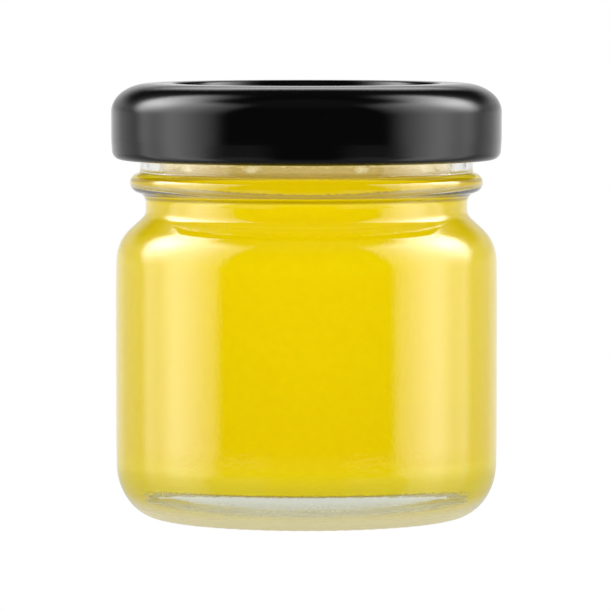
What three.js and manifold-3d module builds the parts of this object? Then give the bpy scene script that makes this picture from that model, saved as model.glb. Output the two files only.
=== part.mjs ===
// A small round glass jar of clear yellow honey, shut with a black twist-off lid.
// Millimetres, +Z up. The origin is the middle of the ring that the jar stands on.

import * as THREE from 'three';
import { mergeVertices } from 'three/addons/utils/BufferGeometryUtils.js';
import Module from 'manifold-3d';

const wasm = await Module();
wasm.setup();

// Outside of the glass
const BODY_RADIUS = 22.25;
const HEEL_WIDTH = 5.1;
const HEEL_HEIGHT = 6.6;
const BEARING_WIDTH = 1.7;
const PUNT_RISE = 1.1;
const SHOULDER_START = 29.75;
const SHOULDER_RADIUS = 5.3;
const SHOULDER_SLOPE = 47.5;
const WAIST_RADIUS = 18.75;
const WAIST_FILLET = 1.3;
const BEAD_MIDDLE = 39.03;
const BEAD_RADIUS = 20.57;
const BEAD_ROUNDING = 1.12;
const FINISH_RADIUS = 19.4;
const RIM_HEIGHT = 49.4;
const RIM_ROUNDING = 0.8;

// Inside of the glass
const WALL = 2.1;
const FLOOR_HEIGHT = 4.5;
const FLOOR_DOME = 0.1;
const INNER_HEEL_WIDTH = 5.0;
const INNER_HEEL_HEIGHT = 2.8;
const MOUTH_RADIUS = 17.2;
const INNER_SHOULDER_START = 29.6;
const INNER_SHOULDER_END = 37.4;

// Threads on the finish, which the lugs of the lid turn under
const THREAD_COUNT = 4;
const THREAD_SPAN = 78;
const THREAD_START = 6;
const THREAD_LOW = 44.5;
const THREAD_CLIMB = 1.7;
const THREAD_DEPTH = 1.05;
const THREAD_WIDTH = 1.5;
const THREAD_ROOT = 0.6;
const THREAD_RUN_OUT = 0.06;

// Honey, filled to the middle of the bead, with a clear head space above it
const HONEY_LEVEL = 38.5;
const GAP = 0.3;

// Lid
const LID_RADIUS = 22.75;
const LID_TOP = 50.6;
const LID_BOTTOM = 41.73;
const LID_SHOULDER_WIDTH = 4.6;
const LID_SHOULDER_DROP = 3.3;
const SHEET = 0.6;
const CURL_RADIUS = 1.05;
const CURL_LIP_RISE = 0.5;
const CURL_LIP_END = 55;
const PANEL_RADIUS = 14.9;
const PANEL_STEP = 0.9;
const PANEL_RECESS = 0.7;
const LUG_COUNT = 4;
const LUG_SPAN = 32;
const LUG_REACH = 0.8;
const LUG_FOOT = 0.2;
const LUG_HEIGHT = 1.5;
const LUG_TAPER = 0.3;
const LUG_END_REACH = 0.2;

const TURN_STEPS = 44;
const SWEEP_DEGREES = 6;

const radians = THREE.MathUtils.degToRad;

// Points of an elliptical arc in the (radius, height) plane, angles in degrees from the radius axis
function arc(centreR, centreZ, radiusR, radiusZ, from, to, steps) {
  const points = [];
  for (let i = 0; i <= steps; i += 1) {
    const angle = radians(from + ((to - from) * i) / steps);
    points.push([centreR + radiusR * Math.cos(angle), centreZ + radiusZ * Math.sin(angle)]);
  }
  return points;
}

// A smooth change of radius between two heights, level with the wall at both ends
function easedWall(fromR, fromZ, toR, toZ, steps) {
  const points = [];
  for (let i = 0; i <= steps; i += 1) {
    const share = i / steps;
    const eased = share * share * (3 - 2 * share);
    points.push([fromR + (toR - fromR) * eased, fromZ + (toZ - fromZ) * share]);
  }
  return points;
}

// A closed solid from a three.js geometry, with its shared vertices merged
function solidOf(geometry) {
  geometry.deleteAttribute('normal');
  geometry.deleteAttribute('uv');
  const merged = mergeVertices(geometry, 1e-4);
  const corners = merged.index.array;
  const kept = [];
  for (let i = 0; i < corners.length; i += 3) {
    const [a, b, c] = [corners[i], corners[i + 1], corners[i + 2]];
    if (a !== b && b !== c && c !== a) kept.push(a, b, c);
  }
  return new wasm.Manifold(new wasm.Mesh({
    numProp: 3,
    vertProperties: new Float32Array(merged.attributes.position.array),
    triVerts: new Uint32Array(kept),
  }));
}

// A turned solid about Z from a profile of [radius, height] points that starts and ends on the axis
function turned(profile) {
  const points = profile.map(([r, z]) => new THREE.Vector2(Math.max(r, 0), z));
  const geometry = new THREE.LatheGeometry(points, TURN_STEPS);
  geometry.rotateX(Math.PI / 2);
  return solidOf(geometry);
}

// A solid through sections that all have the same number of [radius, height] corners,
// each section standing at its own angle about Z
function swept(sections) {
  const corners = sections[0].outline.length;
  const positions = [];
  for (const { angle, outline } of sections) {
    for (const [r, z] of outline) {
      positions.push(r * Math.cos(radians(angle)), r * Math.sin(radians(angle)), z);
    }
  }
  const faces = [];
  for (let s = 0; s + 1 < sections.length; s += 1) {
    for (let i = 0; i < corners; i += 1) {
      const next = (i + 1) % corners;
      const [a, b] = [s * corners + i, s * corners + next];
      const [c, d] = [a + corners, b + corners];
      faces.push(a, c, b, b, c, d);
    }
  }
  const last = (sections.length - 1) * corners;
  for (let i = 1; i + 1 < corners; i += 1) {
    faces.push(0, i, i + 1);
    faces.push(last, last + i + 1, last + i);
  }
  return new wasm.Manifold(new wasm.Mesh({
    numProp: 3,
    vertProperties: new Float32Array(positions),
    triVerts: new Uint32Array(faces),
  }));
}

function meshOf(name, solid, material) {
  const { vertProperties, triVerts } = solid.getMesh();
  const geometry = new THREE.BufferGeometry();
  geometry.setAttribute('position', new THREE.BufferAttribute(new Float32Array(vertProperties), 3));
  geometry.setIndex(new THREE.BufferAttribute(new Uint32Array(triVerts), 1));
  geometry.computeVertexNormals();
  const mesh = new THREE.Mesh(geometry, material);
  mesh.name = name;
  return mesh;
}

// The outside of the glass from the middle of the pushed-up bottom to the rim
function outerGlass() {
  const heelRadius = BODY_RADIUS - HEEL_WIDTH;
  const puntRadius = heelRadius - BEARING_WIDTH;
  const shoulderCentre = BODY_RADIUS - SHOULDER_RADIUS;
  const slope = radians(SHOULDER_SLOPE);
  const shoulder = arc(
    shoulderCentre, SHOULDER_START, SHOULDER_RADIUS, SHOULDER_RADIUS, 0, SHOULDER_SLOPE, 5,
  );
  const [shoulderR, shoulderZ] = shoulder[shoulder.length - 1];

  // The slope runs on until it meets the small hollow fillet of the waist
  const filletCentreR = WAIST_RADIUS + WAIST_FILLET;
  const meetR = filletCentreR - WAIST_FILLET * Math.cos(slope);
  const meetZ = shoulderZ + (shoulderR - meetR) / Math.tan(slope);
  const filletCentreZ = meetZ + WAIST_FILLET * Math.sin(slope);

  // A like fillet joins the waist to the round bead
  const beadCentreR = BEAD_RADIUS - BEAD_ROUNDING;
  const across = filletCentreR - beadCentreR;
  const down = Math.sqrt((BEAD_ROUNDING + WAIST_FILLET) ** 2 - across ** 2);
  const underBead = THREE.MathUtils.radToDeg(Math.atan2(-down, across));
  const overBead = THREE.MathUtils.radToDeg(Math.acos((FINISH_RADIUS - beadCentreR) / BEAD_ROUNDING));

  return [
    ...arc(0, 0, puntRadius, PUNT_RISE, 90, 0, 5),
    ...arc(heelRadius, HEEL_HEIGHT, HEEL_WIDTH, HEEL_HEIGHT, -90, 0, 8),
    ...shoulder,
    ...arc(filletCentreR, filletCentreZ, WAIST_FILLET, WAIST_FILLET, 180 + SHOULDER_SLOPE, 180, 2),
    ...arc(filletCentreR, BEAD_MIDDLE - down, WAIST_FILLET, WAIST_FILLET, 180, 180 + underBead, 2),
    ...arc(beadCentreR, BEAD_MIDDLE, BEAD_ROUNDING, BEAD_ROUNDING, underBead, overBead, 7).slice(1),
    ...arc(
      FINISH_RADIUS - RIM_ROUNDING, RIM_HEIGHT - RIM_ROUNDING, RIM_ROUNDING, RIM_ROUNDING, 0, 90, 3,
    ),
  ];
}

// The inside of the glass from the mouth down to the middle of the floor, moved inward by a gap
function innerGlass(gap) {
  const radius = BODY_RADIUS - WALL - gap;
  const mouth = MOUTH_RADIUS - gap;
  const floor = FLOOR_HEIGHT + gap;
  const heelRadius = radius - INNER_HEEL_WIDTH;
  return [
    ...easedWall(mouth, INNER_SHOULDER_END, radius, INNER_SHOULDER_START, 7),
    ...arc(heelRadius, floor + INNER_HEEL_HEIGHT, INNER_HEEL_WIDTH, INNER_HEEL_HEIGHT, 0, -90, 6),
    ...arc(0, floor, heelRadius, FLOOR_DOME, 0, 90, 3).slice(1),
  ];
}

// One thread is a low ridge that climbs round the finish and fades out at both ends
function thread(start) {
  const sections = [];
  const steps = Math.round(THREAD_SPAN / SWEEP_DEGREES);
  const root = FINISH_RADIUS - THREAD_ROOT;
  for (let i = 0; i <= steps; i += 1) {
    const share = i / steps;
    const fade = Math.sin(Math.PI * (THREAD_RUN_OUT + (1 - 2 * THREAD_RUN_OUT) * share)) ** 0.5;
    const z = THREAD_LOW + THREAD_CLIMB * share;
    const crest = FINISH_RADIUS + THREAD_DEPTH * fade;
    sections.push({
      angle: start + THREAD_SPAN * share,
      outline: [
        [root, z - THREAD_WIDTH / 2],
        [crest, z - THREAD_WIDTH / 6],
        [crest, z + THREAD_WIDTH / 6],
        [root, z + THREAD_WIDTH / 2],
      ],
    });
  }
  return swept(sections);
}

function glassJar() {
  const rim = arc(
    MOUTH_RADIUS + RIM_ROUNDING, RIM_HEIGHT - RIM_ROUNDING, RIM_ROUNDING, RIM_ROUNDING, 90, 180, 3,
  );
  let jar = turned([...outerGlass(), ...rim, ...innerGlass(0)]);
  for (let i = 0; i < THREAD_COUNT; i += 1) {
    jar = jar.add(thread(THREAD_START + (360 / THREAD_COUNT) * i));
  }
  return jar;
}

function honeyFill() {
  const wall = innerGlass(GAP).reverse();
  return turned([...wall, [MOUTH_RADIUS - GAP, HONEY_LEVEL], [0, HONEY_LEVEL]]);
}

// Half the section of the lid: over the top and down the outside, round the curl, and back inside
function lidProfile() {
  const shoulderR = LID_RADIUS - LID_SHOULDER_WIDTH;
  const shoulderZ = LID_TOP - LID_SHOULDER_DROP;
  const curlR = LID_RADIUS - CURL_RADIUS;
  const curlZ = LID_BOTTOM + CURL_RADIUS;
  const panelZ = LID_TOP - PANEL_RECESS;
  const insideR = LID_RADIUS - SHEET;
  return [
    [0, panelZ],
    ...easedStep(PANEL_RADIUS, panelZ, PANEL_RADIUS + PANEL_STEP, LID_TOP, 3),
    ...arc(shoulderR, shoulderZ, LID_SHOULDER_WIDTH, LID_SHOULDER_DROP, 90, 0, 7),
    ...arc(curlR, curlZ, CURL_RADIUS, CURL_RADIUS, 0, -180, 6),
    ...arc(curlR, curlZ + CURL_LIP_RISE, CURL_RADIUS, CURL_RADIUS, 180, CURL_LIP_END, 3),
    [insideR, shoulderZ],
    ...arc(
      shoulderR, shoulderZ, LID_SHOULDER_WIDTH - SHEET, LID_SHOULDER_DROP - SHEET, 0, 90, 4,
    ).slice(1),
    [PANEL_RADIUS + PANEL_STEP, LID_TOP - SHEET],
    [PANEL_RADIUS, panelZ - SHEET],
    [0, panelZ - SHEET],
  ];
}

// A smooth rise between two radii, level at both ends
function easedStep(fromR, fromZ, toR, toZ, steps) {
  return easedWall(fromZ, fromR, toZ, toR, steps).map(([z, r]) => [r, z]);
}

// A lug is a short stretch of the curl pressed inward, to catch under a thread
function lug(middle) {
  const steps = Math.round(LUG_SPAN / SWEEP_DEGREES);
  const root = LID_RADIUS - CURL_RADIUS;
  const sections = [];
  for (let i = 0; i <= steps; i += 1) {
    const share = i / steps;
    const reach = LUG_END_REACH + (LUG_REACH - LUG_END_REACH) * Math.sin(Math.PI * share);
    const tip = LID_RADIUS - 2 * CURL_RADIUS - reach;
    sections.push({
      angle: middle + LUG_SPAN * (share - 0.5),
      outline: [
        [tip, LID_BOTTOM + LUG_FOOT + LUG_TAPER],
        [root, LID_BOTTOM + LUG_FOOT],
        [root, LID_BOTTOM + LUG_HEIGHT],
        [tip, LID_BOTTOM + LUG_HEIGHT - LUG_TAPER],
      ],
    });
  }
  return swept(sections);
}

function twistLid() {
  let lid = turned(lidProfile().reverse());
  for (let i = 0; i < LUG_COUNT; i += 1) {
    lid = lid.add(lug(-90 + (360 / LUG_COUNT) * i));
  }
  return lid;
}

const glass = new THREE.MeshStandardMaterial({
  color: 0xe8ebe6, roughness: 0.05, metalness: 0, transparent: true, opacity: 0.35,
});
const honeyYellow = new THREE.MeshStandardMaterial({ color: 0xecce01, roughness: 0.2, metalness: 0 });
const blackLacquer = new THREE.MeshStandardMaterial({ color: 0x0b0b0c, roughness: 0.25, metalness: 0.1 });

const honeyJar = new THREE.Group();
honeyJar.add(meshOf('jar', glassJar(), glass));
honeyJar.add(meshOf('honey', honeyFill(), honeyYellow));
honeyJar.add(meshOf('lid', twistLid(), blackLacquer));

export default honeyJar;
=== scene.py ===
"""A small round glass jar of bright yellow honey with a shut black twist-off lid, on a white studio floor."""
import math

import bmesh
import bpy
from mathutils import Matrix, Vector


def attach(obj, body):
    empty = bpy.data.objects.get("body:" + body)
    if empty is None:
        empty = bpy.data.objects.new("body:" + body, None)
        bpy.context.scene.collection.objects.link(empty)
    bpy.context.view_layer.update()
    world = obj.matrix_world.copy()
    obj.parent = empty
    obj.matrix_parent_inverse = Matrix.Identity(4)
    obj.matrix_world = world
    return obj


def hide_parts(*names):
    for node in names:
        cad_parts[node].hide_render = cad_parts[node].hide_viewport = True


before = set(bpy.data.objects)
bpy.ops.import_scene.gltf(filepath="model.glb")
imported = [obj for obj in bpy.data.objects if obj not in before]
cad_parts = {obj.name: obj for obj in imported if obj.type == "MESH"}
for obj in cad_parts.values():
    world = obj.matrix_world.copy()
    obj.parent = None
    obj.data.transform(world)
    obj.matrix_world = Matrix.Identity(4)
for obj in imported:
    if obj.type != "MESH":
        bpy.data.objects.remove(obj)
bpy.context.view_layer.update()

MM = 0.001

# Outside of the glass, in millimetres, the same driving dimensions as the solids have
BODY_RADIUS = 22.25
HEEL_WIDTH = 5.1
HEEL_HEIGHT = 6.6
BEARING_WIDTH = 1.7
PUNT_RISE = 1.1
SHOULDER_START = 29.75
SHOULDER_RADIUS = 5.3
SHOULDER_SLOPE = 47.5
WAIST_RADIUS = 18.75
WAIST_FILLET = 1.3
BEAD_MIDDLE = 39.03
BEAD_RADIUS = 20.57
BEAD_ROUNDING = 1.12
FINISH_RADIUS = 19.4
FINISH_FILLET = 0.35
RIM_HEIGHT = 49.4
RIM_ROUNDING = 0.8

# The body's wall eases into its heel and shoulder by this much, over this height
EASE_DEPTH = 0.05
EASE_HEIGHT = 1.9

# Inside of the glass
WALL = 2.1
FLOOR_HEIGHT = 4.5
FLOOR_DOME = 0.1
INNER_HEEL_WIDTH = 5.0
INNER_HEEL_HEIGHT = 2.8
MOUTH_RADIUS = 17.2
INNER_SHOULDER_START = 29.6
INNER_SHOULDER_END = 37.4

# Waves of the pressed inside, each with its share, number in a turn, twist with height, and start
WAVE_DEPTH = 0.07
WAVES = ((0.5, 2, 0.09, 0.6), (0.3, 3, -0.05, 2.1), (0.2, 5, 0.13, 0.0))

# They grow from nothing on the axis to their full depth at this radius
WAVE_FULL_RADIUS = 12.0

# Stippled ring on which the jar stands
STIPPLE_COUNT = 72
STIPPLE_DEPTH = 0.16

# It fades out this many ring widths from the ring's middle, and only the glass below the top has it
STIPPLE_REACH = 1.1
STIPPLE_TOP = 0.6

# Small upright nibs on the finish, at these angles in each quarter of a turn
NIB_SPACING = 90
NIB_ANGLES = (18.6, 45.0, 71.4)
NIB_WIDTH = 0.7
NIB_DEPTH = 0.07
NIB_LOW = 40.9
NIB_FOOT = 0.4

# Threads on the finish
THREAD_COUNT = 4
THREAD_SPAN = 78.0
THREAD_START = 6.0
THREAD_LOW = 44.5
THREAD_CLIMB = 1.7
THREAD_DEPTH = 1.05
THREAD_WIDTH = 1.5
THREAD_RUN_OUT = 0.06

# Powers that fill out a thread's ends and round its section
THREAD_SWELL = 0.5
THREAD_ROUNDNESS = 1.2

# Honey reaches this far into the glass, so that no film of air shows
HONEY_OVERLAP = 0.06
HONEY_LEVEL = 38.7
MENISCUS = 0.3
MENISCUS_REACH = 2.5

# A ring of points this close under the honey's sharp edge keeps the shading of its two sides apart
EDGE_STEP = 0.02

# Lid
LID_RADIUS = 22.75
LID_TOP = 50.6
LID_BOTTOM = 41.73
LID_SHOULDER_WIDTH = 4.6
LID_SHOULDER_DROP = 3.3
SHEET = 0.6
CURL_RADIUS = 1.05
CURL_LIP_RISE = 0.5
CURL_LIP_END = 55.0
PANEL_RADIUS = 14.9
PANEL_STEP = 0.9
PANEL_RECESS = 0.7
LUG_COUNT = 4
LUG_HALF_ANGLE = 17.0
LUG_REACH = 0.8
LUG_EDGE = 1.6

# The lid's skirt starts to draw in at a height, with a first short and slight step
SKIRT_TAPER = 0.09
SKIRT_TAPER_START = 44.1
SKIRT_FIRST_DROP = 0.1
SKIRT_FIRST_SHARE = 0.04

# Points this near to the curl's inner edge count as on it
CURL_LEEWAY = 0.01

# Steps in a turn of each piece
GLASS_TURN_STEPS = 360
HONEY_TURN_STEPS = 192
LID_TURN_STEPS = 288

# Glass, and what it takes from the light that goes through to the honey
CLEAR_COLOUR = (0.97, 0.985, 0.965, 1)
GLASS_SHADE = (0.96, 0.965, 0.955, 1)
GLASS_IOR = 1.52

# Frosting of the foot, which fades out between two heights
FROST = 0.4
FROST_BELOW = 0.8
FROST_ABOVE = 2.2

# Glass is cloudy below the first height and clear above the second. The share is how clear it is below.
FOOT_CLEARNESS = (1.2, 3.4, 0.62)

# In the neck, the honey that clings to the glass clouds it just above the level
FILM_CLEARNESS = (39.15, 39.5, 0.3)

# The film of honey above the level is thick and deep yellow at the first height, and thin at the second
THICK_FILM = 39.2
THIN_FILM = 41.6
THICK_COLOUR = (0.50, 0.36, 0.03, 1)
THIN_COLOUR = (0.86, 0.74, 0.40, 1)
FILM_ROUGHNESS = 0.15

# Honey, whose yellow varies a little
HONEY_DEEP = (0.84, 0.635, 0.0, 1)
HONEY_PALE = (0.86, 0.66, 0.0, 1)
HONEY_IOR = 1.49
SCATTER_RADIUS = (0.8, 0.9, 0.1)
SCATTER_SCALE = 0.006

# Light goes deep into the honey below the second height, and not at all above the first
SCATTER_ENDS = 38.6
SCATTER_FULL = 38.45

# Painted shade on the honey behind the glass's waist and bead: heights, and what its colour is multiplied by
# there
NECK_PAINTED_SHADE = (
    (37.3, (1, 1, 1, 1)),
    (37.8, (0.54, 0.48, 1, 1)),
    (38.48, (0.54, 0.48, 1, 1)),
    (38.54, (0.88, 0.83, 1, 1)),
    (39.0, (0.82, 0.76, 1, 1)),
)

# Honey mirrors where the glass shows it at a flatter angle than this, as 1 less the cosine
MIRROR_STARTS = 0.78
MIRROR_FULL = 0.84
MIRROR_COLOUR = (0.67, 0.685, 0.61, 1)

# Lacquers of the lid, which takes nothing from the light that goes through it
BLACK = (0.0015, 0.0015, 0.0017, 1)
GOLD_DEEP = (0.62, 0.50, 0.28, 1)
GOLD_PALE = (0.70, 0.58, 0.34, 1)
NO_SHADE = (1, 1, 1, 1)

# The photograph's camera: far away and a little above the jar
CAMERA_DISTANCE = 620.0
CAMERA_HEIGHT = 64.0
CAMERA_SIDEWAYS = -0.17
LOOK_HEIGHT = 24.7
LENS = 314.0

# The floor, in metres. Reflections see it grey in the middle, and it opens to the lights further out.
FLOOR_RADIUS = 0.12
FLOOR_STEPS = 96
FLOOR_RINGS = 24
FLOOR_OPEN_RADIUS = 0.115
FLOOR_LEAST_OPEN = 0.15
FLOOR_GREY = 0.6
FLOOR_PAINT = (0.25, 0.25, 0.25, 1)
FLOOR_SHADE = 0.5

# The dome of lights, in metres and degrees, which fades out at its lower edge
DOME_RADIUS = 1.2
DOME_STEP = 2
DOME_BOTTOM = -60
DOME_FADE_HEIGHTS = (-60, -40)

# Light of the white surroundings, to the sides and from above, and the extra share from front and back
SIDE_LIGHT = 0.95
TOP_LIGHT = 0.68
FRONT_EXTRA = 1.3

# The light changes to that from above while the upward part of its direction goes over these values
TOP_STARTS = 0.4
TOP_FULL = 0.75

# The soft box. Each pair, of turns from the front or of elevations, is where a change starts and is full.
BOX_GLOW = 1.3
BOX_MORE = 3.0
BOX_MORE_TURNS = (50, 84)
BOX_LESS = 2.1
BOX_LESS_TURNS = (84, 101)
BOX_LESS_HEIGHTS = (20, 0)

# The share by which it is brighter higher up
BOX_HIGH_MORE = 0.35
BOX_HIGH_HEIGHTS = (0, 35)

# It fades out overhead from its top to its end, which is higher further back
BOX_TOP = 48
BOX_TOP_END = 61
BOX_TOP_RISE = 11
BOX_TOP_RISE_TURNS = (90, 110)

# Its front edge, which leans forward with height and is cut back low down
BOX_FRONT_EDGE = 54
BOX_FRONT_LEAN = 0.15
BOX_FRONT_SOFTNESS = 4
BOX_NOTCH = 10
BOX_NOTCH_HEIGHTS = (-6, -10)

# Its back edge, which leans backward up to a height
BOX_BACK_EDGE = 113
BOX_BACK_LEAN = 0.5
BOX_BACK_LEAN_TOP = 55
BOX_BACK_SOFTNESS = 6

# The dark gap between the boxes, as the sideways part of the direction
BOX_OFF_MIDDLE = (0.14, 0.30)

# The bright core of the box's lamp
LAMP_GLOW = 7.0
LAMP_TURN = 110
LAMP_HEIGHT = 36
LAMP_SIZE = 14

# The backdrop, and the share by which it is darker above and below its middle
BACKDROP_GLOW = 0.7
BACKDROP_TURNS = (106, 118)
BACKDROP_MORE = 0.2
BACKDROP_MORE_TURNS = (138, 150)
BACKDROP_HEIGHTS = (26, 13)
BACKDROP_LESS = 0.3
BACKDROP_HIGH_HEIGHTS = (0, 8)
BACKDROP_LOW_HEIGHTS = (-5, -10)

# The bright strip at the backdrop's top
STRIP_GLOW = 1.85
STRIP_TURNS = (164, 173)
STRIP_LOW_HEIGHTS = (20, 28)
STRIP_HIGH_HEIGHTS = (44, 36)

# The dim room, whose ceiling is a little brighter in front
ROOM_GLOW = 0.03
ROOM_MORE = 0.1
ROOM_HEIGHTS = (35, 60)
ROOM_TURNS = (80, 50)

# The low light in front
LOW_GLOW = 0.6
LOW_FRONT_TURNS = (18, 30)
LOW_BACK_TURNS = (72, 62)
LOW_HEIGHTS = (-6, -9)


def arc(centre_r, centre_z, radius_r, radius_z, start, end, steps):
    """Points of an elliptical arc of radius and height. Its angles are in degrees from the radius axis."""
    points = []
    for i in range(steps + 1):
        angle = math.radians(start + (end - start) * i / steps)
        points.append((centre_r + radius_r * math.cos(angle), centre_z + radius_z * math.sin(angle)))
    return points


def eased(from_point, to_point, steps, along_radius=False):
    """A smooth change between two points. It ends level with the wall or, along the radius, the top."""
    (r0, z0), (r1, z1) = from_point, to_point
    points = []
    for i in range(steps + 1):
        share = i / steps
        smooth = share * share * (3 - 2 * share)
        if along_radius:
            points.append((r0 + (r1 - r0) * share, z0 + (z1 - z0) * smooth))
        else:
            points.append((r0 + (r1 - r0) * smooth, z0 + (z1 - z0) * share))
    return points


def straight(from_point, to_point, steps):
    """Points on a straight line, without its two ends."""
    (r0, z0), (r1, z1) = from_point, to_point
    return [(r0 + (r1 - r0) * i / steps, z0 + (z1 - z0) * i / steps) for i in range(1, steps)]


def fade(value, start, end):
    """0 on the side of start, 1 on the side of end, and smooth between them."""
    share = max(0.0, min(1.0, (value - start) / (end - start)))
    return share * share * (3 - 2 * share)


def turned(name, profile, steps, shape, slot):
    """A smooth closed mesh turned about Z from a profile in millimetres that starts and ends on the axis.

    shape takes radius, height, angle and the point's number in the profile, and returns radius and height.
    slot takes the number of a stretch of the profile and returns the number of its material."""
    mesh = bmesh.new()
    rings = []
    for number, (r, z) in enumerate(profile):
        if r < 1e-6:
            rings.append([mesh.verts.new((0, 0, z * MM))])
            continue
        ring = []
        for i in range(steps):
            angle = 2 * math.pi * i / steps
            rr, zz = shape(r, z, angle, number)
            ring.append(mesh.verts.new((rr * math.cos(angle) * MM, rr * math.sin(angle) * MM, zz * MM)))
        rings.append(ring)
    for number, (here, there) in enumerate(zip(rings, rings[1:])):
        for i in range(steps):
            j = (i + 1) % steps
            if len(here) == 1:
                face = mesh.faces.new((here[0], there[i], there[j]))
            elif len(there) == 1:
                face = mesh.faces.new((here[i], there[0], here[j]))
            else:
                face = mesh.faces.new((here[i], there[i], there[j], here[j]))
            face.material_index = slot(number)
    bmesh.ops.recalc_face_normals(mesh, faces=mesh.faces)
    for face in mesh.faces:
        face.smooth = True
    data = bpy.data.meshes.new(name)
    mesh.to_mesh(data)
    mesh.free()
    piece = bpy.data.objects.new(name, data)
    bpy.context.scene.collection.objects.link(piece)
    return piece


def outer_glass():
    """The outside of the glass, from the middle of the pushed-up bottom to the top of the rim."""
    heel_r = BODY_RADIUS - HEEL_WIDTH
    punt_r = heel_r - BEARING_WIDTH
    slope = math.radians(SHOULDER_SLOPE)
    shoulder_middle = BODY_RADIUS - SHOULDER_RADIUS
    shoulder = arc(shoulder_middle, SHOULDER_START, SHOULDER_RADIUS, SHOULDER_RADIUS, 0, SHOULDER_SLOPE, 14)
    shoulder_r, shoulder_z = shoulder[-1]

    # The slope runs on until it meets the small hollow fillet of the waist
    fillet_r = WAIST_RADIUS + WAIST_FILLET
    meet_r = fillet_r - WAIST_FILLET * math.cos(slope)
    meet_z = shoulder_z + (shoulder_r - meet_r) / math.tan(slope)
    fillet_z = meet_z + WAIST_FILLET * math.sin(slope)

    # A like fillet joins the waist to the round bead
    bead_r = BEAD_RADIUS - BEAD_ROUNDING
    across = fillet_r - bead_r
    down = math.sqrt((BEAD_ROUNDING + WAIST_FILLET) ** 2 - across ** 2)
    under_bead = math.degrees(math.atan2(-down, across))

    # A smaller one joins the top of the bead to the finish
    hollow_r = FINISH_RADIUS + FINISH_FILLET
    hollow_across = hollow_r - bead_r
    hollow_up = math.sqrt((BEAD_ROUNDING + FINISH_FILLET) ** 2 - hollow_across ** 2)
    over_bead = math.degrees(math.atan2(hollow_up, hollow_across))
    return (
        arc(0, 0, punt_r, PUNT_RISE, 90, 0, 16)
        + straight((punt_r, 0), (heel_r, 0), 4)
        + arc(heel_r, HEEL_HEIGHT, HEEL_WIDTH, HEEL_HEIGHT, -90, 0, 26)
        + straight((BODY_RADIUS, HEEL_HEIGHT), (BODY_RADIUS, SHOULDER_START), 46)
        + shoulder
        + arc(fillet_r, fillet_z, WAIST_FILLET, WAIST_FILLET, 180 + SHOULDER_SLOPE, 180, 6)
        + arc(fillet_r, BEAD_MIDDLE - down, WAIST_FILLET, WAIST_FILLET, 180, 180 + under_bead, 8)
        + arc(bead_r, BEAD_MIDDLE, BEAD_ROUNDING, BEAD_ROUNDING, under_bead, over_bead, 18)[1:]
        + arc(hollow_r, BEAD_MIDDLE + hollow_up, FINISH_FILLET, FINISH_FILLET, over_bead - 180, -180, 4)[1:]
        + straight((FINISH_RADIUS, BEAD_MIDDLE + hollow_up), (FINISH_RADIUS, RIM_HEIGHT - RIM_ROUNDING), 22)
        + arc(FINISH_RADIUS - RIM_ROUNDING, RIM_HEIGHT - RIM_ROUNDING, RIM_ROUNDING, RIM_ROUNDING, 0, 90, 6)
    )


def inner_glass(overlap):
    """The inside of the glass from the mouth to the middle of the floor, moved outward by an overlap."""
    radius = BODY_RADIUS - WALL + overlap
    mouth = MOUTH_RADIUS + overlap
    floor = FLOOR_HEIGHT - overlap
    heel_r = radius - INNER_HEEL_WIDTH
    heel_z = floor + INNER_HEEL_HEIGHT
    return (
        eased((mouth, INNER_SHOULDER_END), (radius, INNER_SHOULDER_START), 20)
        + straight((radius, INNER_SHOULDER_START), (radius, heel_z), 6)
        + arc(heel_r, heel_z, INNER_HEEL_WIDTH, INNER_HEEL_HEIGHT, 0, -90, 22)
        + arc(0, floor, heel_r, FLOOR_DOME, 0, 90, 10)[1:]
    )


def inner_wave(angle, z):
    """How far the inside of the pressed glass wanders from a true circle."""
    return WAVE_DEPTH * sum(
        share * math.sin(count * angle + twist * z + start) for share, count, twist, start in WAVES)


def thread_height(z, angle):
    """How far a thread stands out of the finish at a height and an angle."""
    spacing = 360.0 / THREAD_COUNT
    turn = (math.degrees(angle) - THREAD_START) % spacing
    share = turn / THREAD_SPAN
    if share > 1:
        return 0.0
    middle = THREAD_LOW + THREAD_CLIMB * share
    off = abs(z - middle) / (THREAD_WIDTH / 2)
    if off > 1:
        return 0.0
    swell = math.sin(math.pi * (THREAD_RUN_OUT + (1 - 2 * THREAD_RUN_OUT) * share)) ** THREAD_SWELL
    return THREAD_DEPTH * swell * math.cos(off * math.pi / 2) ** THREAD_ROUNDNESS


def wall_ease(z):
    """How far the outside of the body draws in where its wall meets the heel and the shoulder."""
    near = [math.exp(-((z - bend) / EASE_HEIGHT) ** 2) for bend in (HEEL_HEIGHT, SHOULDER_START)]
    return EASE_DEPTH * sum(near)


def nib_height(z, angle):
    """How far the small upright nibs stand out of the finish, just above the bead."""
    turn = math.degrees(angle) % NIB_SPACING
    height = 0.0
    for middle in NIB_ANGLES:
        across = math.radians(turn - middle) * FINISH_RADIUS / NIB_WIDTH
        height = max(height, NIB_DEPTH * math.exp(-across ** 2))
    return height * fade(z, NIB_LOW, NIB_LOW + NIB_FOOT)


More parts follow.
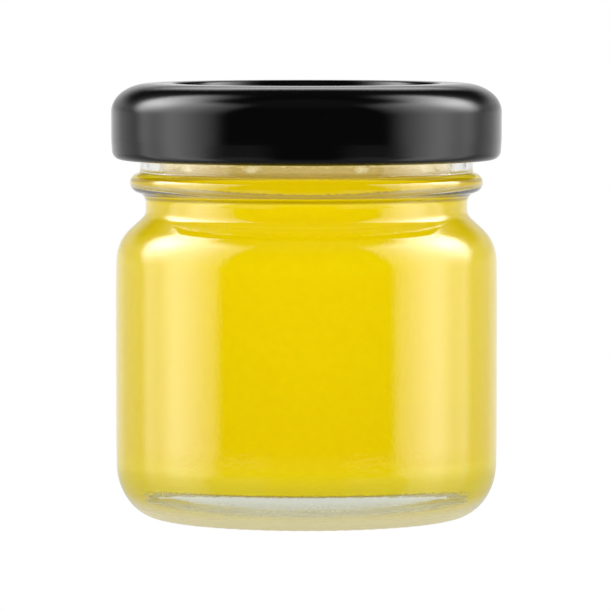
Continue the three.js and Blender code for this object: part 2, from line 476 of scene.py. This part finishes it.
def glass_jar():
    """The glass. Its mouth is a second material, because honey has wetted it."""
    outer = outer_glass()
    rim = arc(MOUTH_RADIUS + RIM_ROUNDING, RIM_HEIGHT - RIM_ROUNDING, RIM_ROUNDING, RIM_ROUNDING, 90, 180, 6)
    mouth = straight((MOUTH_RADIUS, RIM_HEIGHT - RIM_ROUNDING), (MOUTH_RADIUS, INNER_SHOULDER_END), 8)
    mouth_from = len(outer) + len(rim)
    mouth_to = mouth_from + len(mouth)
    ring_middle = BODY_RADIUS - HEEL_WIDTH - BEARING_WIDTH / 2

    def shape(r, z, angle, number):
        """The inside wanders, the finish has threads and nibs, the foot is stippled, and the wall eases."""
        if number >= mouth_from:
            return r + inner_wave(angle, z) * min(1.0, r / WAVE_FULL_RADIUS), z
        if z > BEAD_MIDDLE + BEAD_ROUNDING:
            return r + max(thread_height(z, angle), nib_height(z, angle)), z
        if z < STIPPLE_TOP:
            near = max(0.0, 1 - abs(r - ring_middle) / (BEARING_WIDTH * STIPPLE_REACH))
            return r, z + STIPPLE_DEPTH * near * (0.5 - 0.5 * math.cos(STIPPLE_COUNT * angle))
        return r - wall_ease(z), z

    return turned(
        "glass_jar", outer + rim + mouth + inner_glass(0), GLASS_TURN_STEPS, shape,
        lambda number: int(mouth_from <= number + 1 < mouth_to))


def honey_fill():
    """The honey, whose level top climbs a little where it meets the glass."""
    inner = inner_glass(HONEY_OVERLAP)
    wall_r = MOUTH_RADIUS + HONEY_OVERLAP
    edge_z = HONEY_LEVEL + MENISCUS
    wall = straight((wall_r, INNER_SHOULDER_END), (wall_r, edge_z), 3) + [(wall_r, edge_z - EDGE_STEP)]
    bend = arc(wall_r - MENISCUS_REACH, edge_z, MENISCUS_REACH, MENISCUS, 0, -90, 12)
    profile = inner[::-1] + wall + bend + [(0, HONEY_LEVEL)]
    top_from = len(inner) + len(wall)

    def shape(r, z, angle, number):
        """The honey follows the wandering inside of the glass."""
        if number < top_from:
            share = min(1.0, r / WAVE_FULL_RADIUS)
        else:
            share = fade(r, wall_r - MENISCUS_REACH, wall_r)
        return r + inner_wave(angle, z) * share, z

    return turned("honey_fill", profile, HONEY_TURN_STEPS, shape, lambda number: int(number >= top_from))


def lid_metal():
    """The lid: over the top and down the outside, round the curl, and back up the lacquered inside."""
    shoulder_r = LID_RADIUS - LID_SHOULDER_WIDTH
    shoulder_z = LID_TOP - LID_SHOULDER_DROP
    curl_r = LID_RADIUS - CURL_RADIUS
    curl_z = LID_BOTTOM + CURL_RADIUS
    panel_z = LID_TOP - PANEL_RECESS
    outside = (
        [(0, panel_z)]
        + straight((0, panel_z), (PANEL_RADIUS, panel_z), 5)
        + eased((PANEL_RADIUS, panel_z), (PANEL_RADIUS + PANEL_STEP, LID_TOP), 10, along_radius=True)
        + arc(shoulder_r, shoulder_z, LID_SHOULDER_WIDTH, LID_SHOULDER_DROP, 90, 0, 26)
        + straight((LID_RADIUS, shoulder_z), (LID_RADIUS, SKIRT_TAPER_START), 5)
        + [(LID_RADIUS, SKIRT_TAPER_START)]
        + [(LID_RADIUS - SKIRT_FIRST_SHARE * SKIRT_TAPER, SKIRT_TAPER_START - SKIRT_FIRST_DROP)]
        + arc(curl_r, curl_z, CURL_RADIUS, CURL_RADIUS, 0, -180, 30)
    )
    inside = (
        arc(curl_r, curl_z + CURL_LIP_RISE, CURL_RADIUS, CURL_RADIUS, 180, CURL_LIP_END, 12)
        + [(LID_RADIUS - SHEET, shoulder_z)]
        + arc(shoulder_r, shoulder_z, LID_SHOULDER_WIDTH - SHEET, LID_SHOULDER_DROP - SHEET, 0, 90, 10)[1:]
        + [(PANEL_RADIUS + PANEL_STEP, LID_TOP - SHEET)]
        + [(PANEL_RADIUS, panel_z - SHEET)]
        + [(0, panel_z - SHEET)]
    )
    spacing = 360.0 / LUG_COUNT

    def shape(r, z, angle, number):
        """The skirt draws in a little above the curl. A lug is a stretch of the curl whose inner half is
        pressed inward."""
        if number < len(outside) and r >= curl_r and z <= curl_z:
            return r - SKIRT_TAPER, z
        if z > curl_z + CURL_RADIUS + CURL_LIP_RISE or r >= curl_r:
            return r, z
        if r < curl_r - CURL_RADIUS - CURL_LEEWAY:
            return r, z
        off = abs((math.degrees(angle) + 90 + spacing / 2) % spacing - spacing / 2)
        lug = 1 / (1 + math.exp((off - LUG_HALF_ANGLE) / LUG_EDGE))
        inner = (curl_r - r) / CURL_RADIUS
        return r - LUG_REACH * lug * inner ** 2, z

    return turned(
        "lid_metal", outside + inside, LID_TURN_STEPS, shape, lambda number: int(number >= len(outside)))


def material(name):
    """A new material with its nodes, its links and its main shader."""
    made = bpy.data.materials.new(name)
    made.use_nodes = True
    return made, made.node_tree.nodes, made.node_tree.links, made.node_tree.nodes["Principled BSDF"]


def object_height(nodes, links):
    """The height of the point, in metres in the part's frame."""
    place = nodes.new("ShaderNodeTexCoord")
    split = nodes.new("ShaderNodeSeparateXYZ")
    links.new(place.outputs["Object"], split.inputs[0])
    return split.outputs["Z"]


def ranged(nodes, links, value, span, low=0.0, high=1.0, smooth=False):
    """A number that goes from low to high while the value goes over the span."""
    change = nodes.new("ShaderNodeMapRange")
    if smooth:
        change.interpolation_type = "SMOOTHSTEP"
    change.inputs["From Min"].default_value = span[0]
    change.inputs["From Max"].default_value = span[1]
    change.inputs["To Min"].default_value = low
    change.inputs["To Max"].default_value = high
    links.new(value, change.inputs["Value"])
    return change.outputs["Result"]


def cloudy(nodes, scale, detail):
    """Soft noise, whose scale is about how often it changes across the piece."""
    noise = nodes.new("ShaderNodeTexNoise")
    noise.inputs["Scale"].default_value = scale
    noise.inputs["Detail"].default_value = detail
    return noise.outputs["Fac"]


def uneven(nodes, links, height, strength, distance):
    """The normal of a slightly uneven surface."""
    bump = nodes.new("ShaderNodeBump")
    bump.inputs["Strength"].default_value = strength
    bump.inputs["Distance"].default_value = distance
    links.new(height, bump.inputs["Height"])
    return bump.outputs["Normal"]


def for_rays(nodes, links, rays, shader, look):
    """The shader, but the other look for these kinds of ray."""
    path = nodes.new("ShaderNodeLightPath")
    for ray in rays:
        mix = nodes.new("ShaderNodeMixShader")
        links.new(path.outputs[ray], mix.inputs["Fac"])
        links.new(shader, mix.inputs[1])
        links.new(look, mix.inputs[2])
        shader = mix.outputs["Shader"]
    return shader


def let_light_through(nodes, links, shader, colour):
    """Light that falls on the honey, and that the honey gives back, goes straight through this material."""
    clear = nodes.new("ShaderNodeBsdfTransparent")
    clear.inputs["Color"].default_value = colour
    shader = for_rays(nodes, links, ("Is Diffuse Ray", "Is Shadow Ray"), shader, clear.outputs["BSDF"])
    links.new(shader, nodes["Material Output"].inputs["Surface"])


def glass_material(name, colour, roughness, clearness):
    """Pressed glass, slightly uneven and frosted at its foot."""
    made, nodes, links, glass = material(name)
    cloudy_below, clear_above, share = clearness
    height = object_height(nodes, links)
    frost = ranged(nodes, links, height, (FROST_BELOW * MM, FROST_ABOVE * MM), FROST, roughness, smooth=True)
    clear = ranged(nodes, links, height, (cloudy_below * MM, clear_above * MM), share, smooth=True)
    normal = uneven(nodes, links, cloudy(nodes, 90.0, 1.0), 0.03, 0.0004)
    glass.inputs["Base Color"].default_value = colour
    glass.inputs["IOR"].default_value = GLASS_IOR

    # The plain value still says that this is clear glass where a reader passes over the links
    glass.inputs["Transmission Weight"].default_value = 1.0
    links.new(frost, glass.inputs["Roughness"])
    links.new(clear, glass.inputs["Transmission Weight"])
    links.new(normal, glass.inputs["Normal"])
    let_light_through(nodes, links, glass.outputs["BSDF"], GLASS_SHADE)
    return made


def film_material():
    """Glass with a film of honey on it, which is thicker and deeper yellow near the level."""
    made = glass_material("wet_glass", THIN_COLOUR, FILM_ROUGHNESS, FILM_CLEARNESS)
    nodes, links = made.node_tree.nodes, made.node_tree.links
    tone = nodes.new("ShaderNodeMix")
    tone.data_type = "RGBA"
    tone.inputs["A"].default_value = THICK_COLOUR
    tone.inputs["B"].default_value = THIN_COLOUR
    thin = ranged(nodes, links, object_height(nodes, links), (THICK_FILM * MM, THIN_FILM * MM))
    links.new(thin, tone.inputs["Factor"])
    links.new(tone.outputs["Result"], nodes["Principled BSDF"].inputs["Base Color"])
    return made


def honey_colour(nodes, links, height):
    """Yellow that varies a little, with painted shade in the neck behind the glass's waist and bead."""
    yellow = nodes.new("ShaderNodeValToRGB")
    yellow.color_ramp.elements[0].position = 0.3
    yellow.color_ramp.elements[0].color = HONEY_DEEP
    yellow.color_ramp.elements[1].position = 0.7
    yellow.color_ramp.elements[1].color = HONEY_PALE
    links.new(cloudy(nodes, 45.0, 2.0), yellow.inputs["Fac"])
    lowest, highest = NECK_PAINTED_SHADE[0][0], NECK_PAINTED_SHADE[-1][0]
    tone = nodes.new("ShaderNodeValToRGB")
    stops = tone.color_ramp.elements
    for z, _ in NECK_PAINTED_SHADE[1:-1]:
        stops.new((z - lowest) / (highest - lowest))
    for stop, (_, colour) in zip(stops, NECK_PAINTED_SHADE):
        stop.color = colour
    links.new(ranged(nodes, links, height, (lowest * MM, highest * MM)), tone.inputs["Fac"])
    # Painted shade: the neck's colours multiply the yellow, darkest behind the waist
    shaded = nodes.new("ShaderNodeMix")
    shaded.data_type = "RGBA"
    shaded.blend_type = "MULTIPLY"
    shaded.inputs["Factor"].default_value = 1.0
    links.new(yellow.outputs["Color"], shaded.inputs["A"])
    links.new(tone.outputs["Color"], shaded.inputs["B"])
    return shaded.outputs["Result"]


def honey_material(name, gloss):
    """Saturated yellow honey, into which light goes deep. Its open top has gloss. Against the glass it has
    none of its own, but where it is seen through the glass at a flat angle, as from under the floor, it
    mirrors."""
    made, nodes, links, honey = material(name)
    height = object_height(nodes, links)
    deep = ranged(nodes, links, height, (SCATTER_ENDS * MM, SCATTER_FULL * MM))
    links.new(honey_colour(nodes, links, height), honey.inputs["Base Color"])
    links.new(deep, honey.inputs["Subsurface Weight"])
    honey.inputs["Subsurface Radius"].default_value = SCATTER_RADIUS
    honey.inputs["Subsurface Scale"].default_value = SCATTER_SCALE
    honey.inputs["IOR"].default_value = HONEY_IOR
    honey.inputs["Roughness"].default_value = 0.02 if gloss else 0.35
    honey.inputs["Specular IOR Level"].default_value = 0.5 if gloss else 0.0
    if gloss:
        return made
    mirror = nodes.new("ShaderNodeBsdfGlossy")
    mirror.inputs["Roughness"].default_value = 0.0
    mirror.inputs["Color"].default_value = MIRROR_COLOUR
    facing = nodes.new("ShaderNodeLayerWeight")
    facing.inputs["Blend"].default_value = 0.5
    flat = ranged(nodes, links, facing.outputs["Facing"], (MIRROR_STARTS, MIRROR_FULL))
    mix = nodes.new("ShaderNodeMixShader")
    links.new(flat, mix.inputs["Fac"])
    links.new(honey.outputs["BSDF"], mix.inputs[1])
    links.new(mirror.outputs["BSDF"], mix.inputs[2])
    links.new(mix.outputs["Shader"], nodes["Material Output"].inputs["Surface"])
    return made


def lid_material():
    """Black gloss lacquer. It casts no shade, so that the honey in the neck is as bright as in the body."""
    made, nodes, links, lacquer = material("black_lacquer")
    lacquer.inputs["Base Color"].default_value = BLACK
    lacquer.inputs["Roughness"].default_value = 0.4
    lacquer.inputs["Specular IOR Level"].default_value = 0.0
    lacquer.inputs["Coat Weight"].default_value = 1.0
    lacquer.inputs["Coat Roughness"].default_value = 0.07
    lacquer.inputs["Coat IOR"].default_value = 1.34
    normal = uneven(nodes, links, cloudy(nodes, 260.0, 2.0), 0.06, 0.0002)
    links.new(normal, lacquer.inputs["Normal"])
    links.new(normal, lacquer.inputs["Coat Normal"])
    let_light_through(nodes, links, lacquer.outputs["BSDF"], NO_SHADE)
    return made


def lid_inside_material():
    """Pale gold lacquer on the lid's inside, uneven as a thin baked coat is."""
    made, nodes, links, lacquer = material("gold_lacquer")
    gold = nodes.new("ShaderNodeValToRGB")
    gold.color_ramp.elements[0].color = GOLD_DEEP
    gold.color_ramp.elements[1].color = GOLD_PALE
    links.new(cloudy(nodes, 120.0, 2.0), gold.inputs["Fac"])
    links.new(gold.outputs["Color"], lacquer.inputs["Base Color"])
    lacquer.inputs["Roughness"].default_value = 0.35
    let_light_through(nodes, links, lacquer.outputs["BSDF"], NO_SHADE)
    return made


def build_piece(piece, node, slot, *materials):
    """Dresses a piece, hangs it from the root body, and hides the part's node that it stands in for."""
    for made in materials:
        piece.data.materials.append(made)
    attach(piece, "root")
    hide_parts(node)


def stage_mesh(name, points, faces):
    """A mesh of the studio, from points in metres."""
    data = bpy.data.meshes.new(name)
    data.from_pydata(points, [], faces)
    piece = bpy.data.objects.new(name, data)
    bpy.context.scene.collection.objects.link(piece)
    return piece


def point_numbers(piece, name, numbers):
    """Gives each point of a mesh a number, which a material can read by its name."""
    piece.data.attributes.new(name, "FLOAT", "POINT").data.foreach_set("value", numbers)


def soft_box(side, up):
    """The tall soft box on each side, brighter to the back. It leans in overhead and leaves a dark gap in
    the middle, and its front edge is cut back low down."""
    rise = max(up, 0)
    across = math.sin(math.radians(side)) * math.cos(math.radians(up))
    front_edge = BOX_FRONT_EDGE - BOX_FRONT_LEAN * rise + BOX_NOTCH * fade(up, *BOX_NOTCH_HEIGHTS)
    back_edge = BOX_BACK_EDGE + BOX_BACK_LEAN * min(rise, BOX_BACK_LEAN_TOP)
    top_end = BOX_TOP_END + BOX_TOP_RISE * fade(side, *BOX_TOP_RISE_TURNS)
    glow = BOX_GLOW + BOX_MORE * fade(side, *BOX_MORE_TURNS)
    glow -= BOX_LESS * fade(side, *BOX_LESS_TURNS) * fade(up, *BOX_LESS_HEIGHTS)
    glow *= (1 + BOX_HIGH_MORE * fade(up, *BOX_HIGH_HEIGHTS)) * fade(up, top_end, BOX_TOP)
    glow *= fade(side, front_edge - BOX_FRONT_SOFTNESS, front_edge + BOX_FRONT_SOFTNESS)
    glow *= fade(side, back_edge + BOX_BACK_SOFTNESS, back_edge - BOX_BACK_SOFTNESS)
    return glow * fade(across, *BOX_OFF_MIDDLE)


def lamp_core(side, up):
    """The bright core of the soft box's lamp."""
    across = (side - LAMP_TURN) * math.cos(math.radians(up))
    return LAMP_GLOW * math.exp(-(across ** 2 + (up - LAMP_HEIGHT) ** 2) / LAMP_SIZE ** 2)


def backdrop(side, up):
    """The lit backdrop behind the jar, with a bright strip at its top."""
    wall = BACKDROP_GLOW * fade(side, *BACKDROP_TURNS) + BACKDROP_MORE * fade(side, *BACKDROP_MORE_TURNS)
    wall *= fade(up, *BACKDROP_HEIGHTS)
    wall *= 1 - BACKDROP_LESS * (fade(up, *BACKDROP_HIGH_HEIGHTS) + fade(up, *BACKDROP_LOW_HEIGHTS))
    strip = STRIP_GLOW * fade(side, *STRIP_TURNS)
    strip *= fade(up, *STRIP_LOW_HEIGHTS) * fade(up, *STRIP_HIGH_HEIGHTS)
    return wall + strip


def studio_glow(side, up):
    """Brightness of the studio in a direction. side is the turn in degrees from straight in front of the jar
    to straight behind it, and up is the elevation. The room itself is dim, with a low light in front."""
    room = ROOM_GLOW + ROOM_MORE * fade(up, *ROOM_HEIGHTS) * fade(side, *ROOM_TURNS)
    low = LOW_GLOW * fade(side, *LOW_FRONT_TURNS) * fade(side, *LOW_BACK_TURNS) * fade(up, *LOW_HEIGHTS)
    lights = soft_box(side, up) + lamp_core(side, up) + backdrop(side, up)
    return (lights + room + low) * fade(up, *DOME_FADE_HEIGHTS)


def studio_light_material():
    """A light whose brightness is the mesh's own number at each point."""
    made = bpy.data.materials.new("studio_light")
    made.use_nodes = True
    nodes, links = made.node_tree.nodes, made.node_tree.links
    nodes.remove(nodes["Principled BSDF"])
    number = nodes.new("ShaderNodeAttribute")
    number.attribute_name = "glow"
    glow = nodes.new("ShaderNodeEmission")
    links.new(number.outputs["Fac"], glow.inputs["Strength"])
    links.new(glow.outputs["Emission"], nodes["Material Output"].inputs["Surface"])
    made.cycles.emission_sampling = "NONE"
    return made


def studio_lights():
    """A dome round the jar that only reflections see, as bright everywhere as the studio is that way."""
    turns = range(0, 360, DOME_STEP)
    rises = range(DOME_BOTTOM, 90, DOME_STEP)
    points = []
    brightness = []
    for rise in rises:
        flat = DOME_RADIUS * math.cos(math.radians(rise))
        high = DOME_RADIUS * math.sin(math.radians(rise))
        for turn in turns:
            points.append((flat * math.sin(math.radians(turn)), -flat * math.cos(math.radians(turn)), high))
            brightness.append(studio_glow(min(turn, 360 - turn), rise))
    points.append((0, 0, DOME_RADIUS))
    brightness.append(studio_glow(0, 90))
    count = len(turns)
    faces = []
    for row in range(len(rises) - 1):
        start = row * count
        for i in range(count):
            j = (i + 1) % count
            faces.append((start + i, start + j, start + count + j, start + count + i))
    last = (len(rises) - 1) * count
    for i in range(count):
        faces.append((last + i, last + (i + 1) % count, last + count))
    dome = stage_mesh("studio_dome", points, faces)
    point_numbers(dome, "glow", brightness)
    dome.data.materials.append(studio_light_material())
    dome.visible_camera = False
    dome.visible_diffuse = False
    dome.visible_transmission = False
    dome.visible_shadow = False
    dome.visible_volume_scatter = False


def floor_material():
    """The camera sees the floor white. Reflections see it grey, and open where its number says so. The jar
    is lit by it more from further out, as it shades the floor near itself."""
    made, nodes, links, paint = material("white_floor")
    paint.inputs["Base Color"].default_value = FLOOR_PAINT
    paint.inputs["Roughness"].default_value = 0.9
    paint.inputs["Specular IOR Level"].default_value = 0.0
    paint.inputs["Emission Color"].default_value = (1, 1, 1, 1)
    white = nodes.new("ShaderNodeEmission")
    grey = nodes.new("ShaderNodeEmission")
    grey.inputs["Strength"].default_value = FLOOR_GREY
    open_air = nodes.new("ShaderNodeBsdfTransparent")
    number = nodes.new("ShaderNodeAttribute")
    number.attribute_name = "opening"
    mirrored = nodes.new("ShaderNodeMixShader")
    links.new(number.outputs["Fac"], mirrored.inputs["Fac"])
    links.new(grey.outputs["Emission"], mirrored.inputs[1])
    links.new(open_air.outputs["BSDF"], mirrored.inputs[2])
    shade = ranged(nodes, links, number.outputs["Fac"], (FLOOR_LEAST_OPEN, 1.0), FLOOR_SHADE)
    links.new(shade, paint.inputs["Emission Strength"])
    shader = for_rays(nodes, links, ("Is Glossy Ray",), paint.outputs["BSDF"], mirrored.outputs["Shader"])
    shader = for_rays(nodes, links, ("Is Camera Ray",), shader, white.outputs["Emission"])
    links.new(shader, nodes["Material Output"].inputs["Surface"])
    made.cycles.emission_sampling = "NONE"
    return made


def studio_floor():
    """A round white floor, with a number at each point that says how open it is."""
    points = [(0, 0, 0)]
    for ring in range(1, FLOOR_RINGS + 1):
        radius = FLOOR_RADIUS * ring / FLOOR_RINGS
        for i in range(FLOOR_STEPS):
            turn = 2 * math.pi * i / FLOOR_STEPS
            points.append((radius * math.cos(turn), radius * math.sin(turn), 0))
    faces = [(0, 1 + i, 1 + (i + 1) % FLOOR_STEPS) for i in range(FLOOR_STEPS)]
    for ring in range(FLOOR_RINGS - 1):
        start = 1 + ring * FLOOR_STEPS
        for i in range(FLOOR_STEPS):
            j = (i + 1) % FLOOR_STEPS
            faces.append((start + i, start + FLOOR_STEPS + i, start + FLOOR_STEPS + j, start + j))
    opening = []
    for x, y, _ in points:
        outward = fade(math.hypot(x, y), 0.0, FLOOR_OPEN_RADIUS)
        opening.append(FLOOR_LEAST_OPEN + (1 - FLOOR_LEAST_OPEN) * outward)
    floor = stage_mesh("floor", points, faces)
    point_numbers(floor, "opening", opening)
    floor.data.materials.append(floor_material())


def white_world():
    """White all round. It lights the jar more from the front and back than from the sides and the top."""
    world = bpy.data.worlds.new("white_studio")
    bpy.context.scene.world = world
    world.use_nodes = True
    nodes, links = world.node_tree.nodes, world.node_tree.links
    seen = nodes["Background"]
    seen.inputs["Color"].default_value = (1, 1, 1, 1)
    lit = nodes.new("ShaderNodeBackground")
    place = nodes.new("ShaderNodeTexCoord")
    split = nodes.new("ShaderNodeSeparateXYZ")
    links.new(place.outputs["Generated"], split.inputs[0])
    height = ranged(
        nodes, links, split.outputs["Z"], (TOP_STARTS, TOP_FULL), SIDE_LIGHT, TOP_LIGHT, smooth=True)
    square = nodes.new("ShaderNodeMath")
    square.operation = "POWER"
    square.inputs[1].default_value = 2.0
    links.new(split.outputs["Y"], square.inputs[0])
    facing = nodes.new("ShaderNodeMath")
    facing.operation = "MULTIPLY_ADD"
    facing.inputs[1].default_value = FRONT_EXTRA
    facing.inputs[2].default_value = 1.0
    links.new(square.outputs[0], facing.inputs[0])
    total = nodes.new("ShaderNodeMath")
    total.operation = "MULTIPLY"
    links.new(height, total.inputs[0])
    links.new(facing.outputs[0], total.inputs[1])
    links.new(total.outputs[0], lit.inputs["Strength"])
    rays = ("Is Camera Ray", "Is Transmission Ray")
    shader = for_rays(nodes, links, rays, lit.outputs["Background"], seen.outputs["Background"])
    links.new(shader, nodes["World Output"].inputs["Surface"])
    world.cycles_visibility.glossy = False


def photo_camera():
    """The photograph's camera, which looks at about the middle of the jar's height."""
    data = bpy.data.cameras.new("photo_camera")
    data.sensor_width = 36.0
    data.lens = LENS
    data.clip_start = 0.01
    data.clip_end = 10.0
    camera = bpy.data.objects.new("photo_camera", data)
    place = Vector((CAMERA_SIDEWAYS * MM, -CAMERA_DISTANCE * MM, CAMERA_HEIGHT * MM))
    target = Vector((CAMERA_SIDEWAYS * MM, 0, LOOK_HEIGHT * MM))
    camera.location = place
    camera.rotation_euler = (target - place).to_track_quat("-Z", "Y").to_euler()
    bpy.context.scene.collection.objects.link(camera)
    bpy.context.scene.camera = camera


photo_camera()
build_piece(
    glass_jar(), "jar", "glass",
    glass_material("clear_glass", CLEAR_COLOUR, 0.0, FOOT_CLEARNESS), film_material())
build_piece(
    honey_fill(), "honey", "honey", honey_material("yellow_honey", False), honey_material("honey_top", True))
build_piece(lid_metal(), "lid", "lid", lid_material(), lid_inside_material())
studio_floor()
studio_lights()
white_world()
bpy.context.scene.view_settings.view_transform = "Standard"
bpy.context.scene.view_settings.look = "None"
